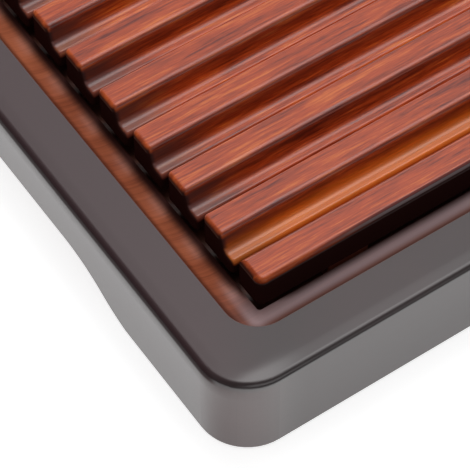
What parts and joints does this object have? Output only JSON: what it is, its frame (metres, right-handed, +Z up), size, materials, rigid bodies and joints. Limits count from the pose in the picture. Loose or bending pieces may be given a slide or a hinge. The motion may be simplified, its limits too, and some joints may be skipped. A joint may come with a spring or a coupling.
{
  "type": "gongfu tea tray",
  "caption": "Rectangular wooden gongfu tea tray: dark mitred frame with a red-brown cove and ogee feet, a lift-out slatted drain board, and a drain with a plug below.",
  "frame": {"origin": "on the surface the tray stands on, below the middle of the tray", "axes": "+X along the long side to the right, +Y to the back, +Z up; the slats run along X"},
  "size_m": [0.6, 0.35, 0.0465],
  "materials": {
    "frame_wood": "black-stained hardwood, satin lacquer, with a red-brown cove",
    "slat_wood": "orange red-brown strand-pressed wood, glossy lacquer",
    "bearer_wood": "dark red-brown wood, satin lacquer",
    "floor_wood": "dark red-brown board, sealed satin lacquer",
    "tongue_wood": "bare hardwood",
    "screw_steel": "bright zinc-plated steel",
    "pad_rubber": "matte black rubber",
    "seal_rubber": "translucent grey silicone",
    "fitting_brass": "turned brass, lightly tarnished",
    "strainer_steel": "perforated stainless steel",
    "plug_rubber": "matte black silicone"
  },
  "bodies": {
    "frame": {"front_rail": "frame_wood", "back_rail": "frame_wood", "left_rail": "frame_wood", "right_rail": "frame_wood", "mitre_tongue_front_left": "tongue_wood", "mitre_tongue_front_right": "tongue_wood", "mitre_tongue_back_left": "tongue_wood", "mitre_tongue_back_right": "tongue_wood", "foot_pad_front_left": "pad_rubber", "foot_pad_front_right": "pad_rubber", "foot_pad_back_left": "pad_rubber", "foot_pad_back_right": "pad_rubber", "basin_floor": "floor_wood", "drain_gasket": "seal_rubber", "drain_strainer": "strainer_steel", "drain_body": "fitting_brass", "drain_nut": "fitting_brass", "hose_elbow": "fitting_brass"},
    "drain_board": {"slat_01": "slat_wood", "slat_02": "slat_wood", "slat_03": "slat_wood", "slat_04": "slat_wood", "slat_05": "slat_wood", "slat_06": "slat_wood", "slat_07": "slat_wood", "slat_08": "slat_wood", "slat_09": "slat_wood", "slat_10": "slat_wood", "slat_11": "slat_wood", "bearer_left": "bearer_wood", "bearer_middle": "bearer_wood", "bearer_right": "bearer_wood", "bearer_screws_left": "screw_steel", "bearer_screws_middle": "screw_steel", "bearer_screws_right": "screw_steel"},
    "plug": {"drain_plug": "plug_rubber"}
  },
  "joints": [
    {"name": "board_lift", "type": "slide", "parent": "frame", "child": "drain_board", "axis": [0, 0, 1], "range_m": [0, 0.04]},
    {"name": "plug_lift", "type": "slide", "parent": "frame", "child": "plug", "axis": [0, 0, 1], "range_m": [0, 0.0035]}
  ]
}
